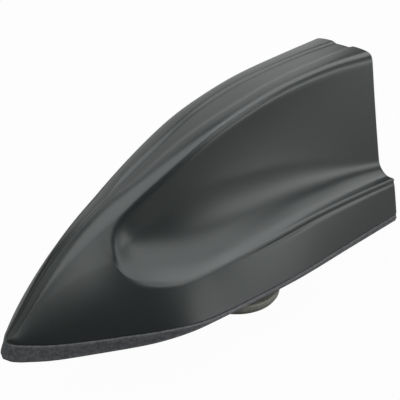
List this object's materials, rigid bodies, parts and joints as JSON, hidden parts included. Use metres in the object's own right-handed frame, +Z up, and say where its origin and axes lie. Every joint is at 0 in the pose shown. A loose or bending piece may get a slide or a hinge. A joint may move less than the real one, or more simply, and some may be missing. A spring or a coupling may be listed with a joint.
{
  "type": "shark fin aerial",
  "caption": "Car roof aerial in the form of a shark fin: a lofted cover with side scoops over a rubber seal, a cast base with a claw fixing and the electronics inside.",
  "frame": {"origin": "axis of the fixing bolt at the roof plane, under the rubber seal", "axes": "+X towards the tail of the fin, +Y towards the car's right-hand side, +Z up off the roof"},
  "size_m": [0.1596, 0.067, 0.091],
  "materials": {
    "cover_plastic": "fine satin grain",
    "seal_rubber": "fine mottled rubber",
    "cast_metal": "die-cast, satin",
    "sheet_steel": "pressed sheet, dull",
    "zinc_steel": "zinc plated",
    "board": "solder resist",
    "chip_plastic": "moulded",
    "pad": "soft pad",
    "ceramic": "fired ceramic",
    "brass": "bright",
    "tin_plate": "bright tin",
    "former_plastic": "moulded",
    "copper": "enamelled wire",
    "carrier_plastic": "moulded",
    "foam": "open foam",
    "socket_blue": "moulded",
    "socket_claret": "moulded",
    "vent_plastic": "moulded"
  },
  "bodies": {
    "root": {"fin_cover": "cover_plastic", "base_seal": "seal_rubber", "base_plate": "cast_metal", "spigot_ring": "seal_rubber", "claw_disc": "sheet_steel", "fixing_bolt": "zinc_steel", "lock_washer": "zinc_steel", "cover_screws": "zinc_steel", "main_board": "board", "board_screws": "zinc_steel", "board_chips": "chip_plastic", "patch_pad": "pad", "patch_aerial": "ceramic", "patch_feed_pin": "brass", "screening_can": "tin_plate", "phone_blade": "board", "blade_brackets": "tin_plate", "coil_former": "former_plastic", "loading_coil": "copper", "coil_contact": "brass", "sail_carrier": "carrier_plastic", "radio_sail": "tin_plate", "crown_foam": "foam", "front_coax_socket": "socket_blue", "rear_coax_socket": "socket_claret", "coax_pins": "brass", "ground_springs": "brass", "vent_plug": "vent_plastic"}
  },
  "joints": []
}
